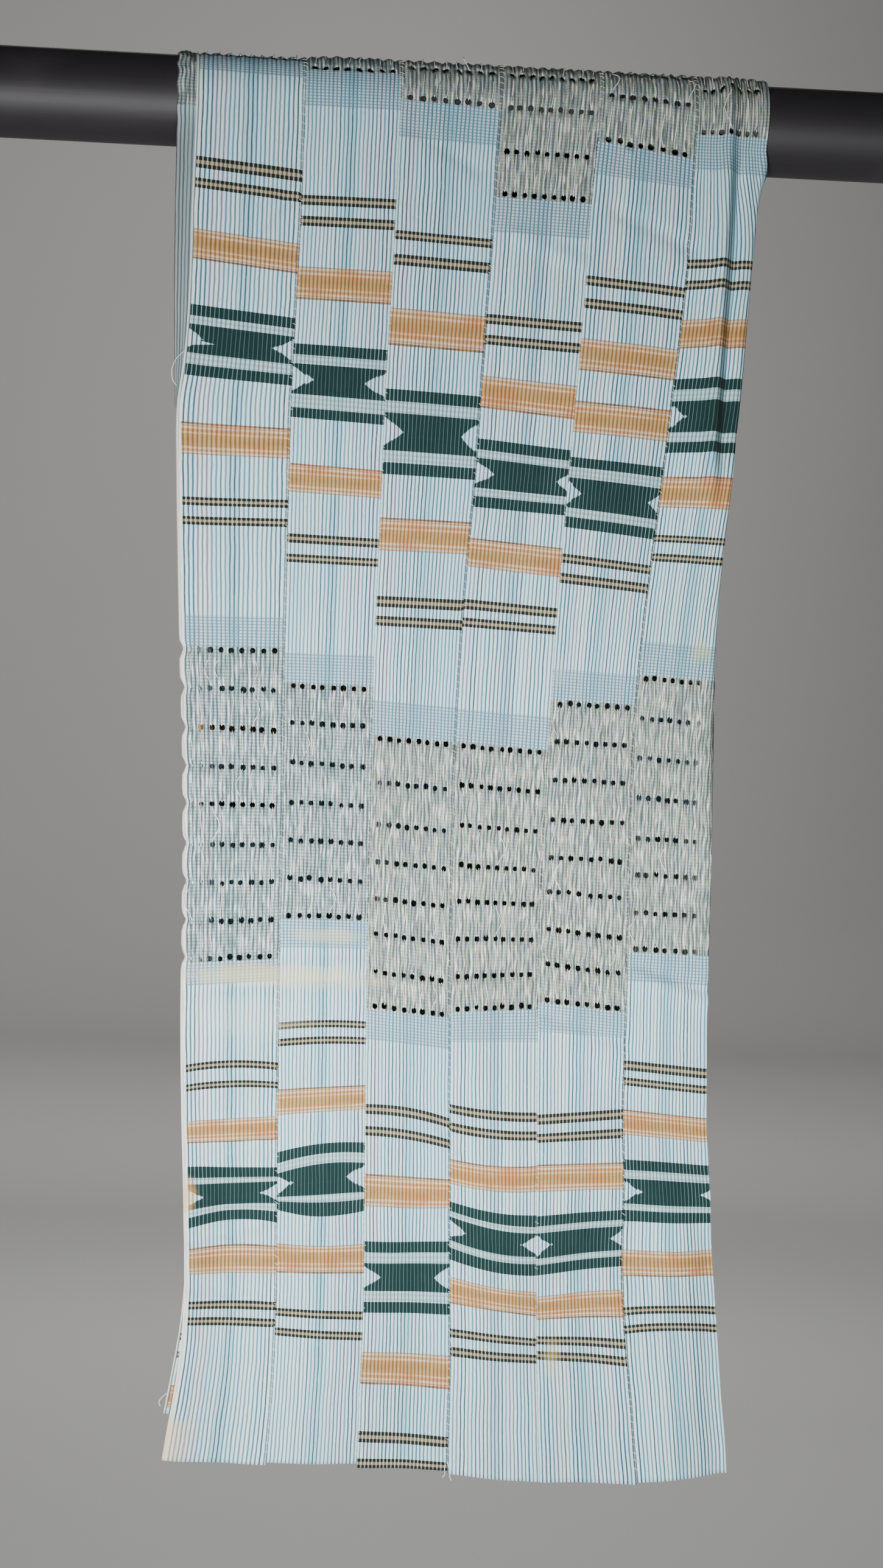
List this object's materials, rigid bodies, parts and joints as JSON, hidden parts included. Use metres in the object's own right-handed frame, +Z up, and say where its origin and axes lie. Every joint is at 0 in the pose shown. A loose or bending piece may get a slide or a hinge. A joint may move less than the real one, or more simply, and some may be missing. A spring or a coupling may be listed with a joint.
{
  "type": "aso oke cloth on a round bar",
  "caption": "Hand-woven aso oke cloth of narrow strips with openwork bands and green, orange and dark weft bars, hung over a thick round bar.",
  "frame": {"origin": "middle of the bar's left end face, seen from the front of the cloth", "axes": "+X along the bar to its right end, +Z up, the front of the cloth faces -Y"},
  "size_m": [1.3, 0.1255, 1.5708],
  "materials": {
    "bar_dark_paint": "painted matte",
    "strip_1_cotton": "handwoven",
    "strip_2_cotton": "handwoven",
    "strip_3_cotton": "handwoven",
    "strip_4_cotton": "handwoven",
    "strip_5_cotton": "handwoven",
    "strip_6_cotton": "handwoven"
  },
  "bodies": {
    "root": {"bar": "bar_dark_paint", "strip_1": "strip_1_cotton", "strip_2": "strip_2_cotton", "strip_3": "strip_3_cotton", "strip_4": "strip_4_cotton", "strip_5": "strip_5_cotton", "strip_6": "strip_6_cotton"}
  },
  "joints": []
}
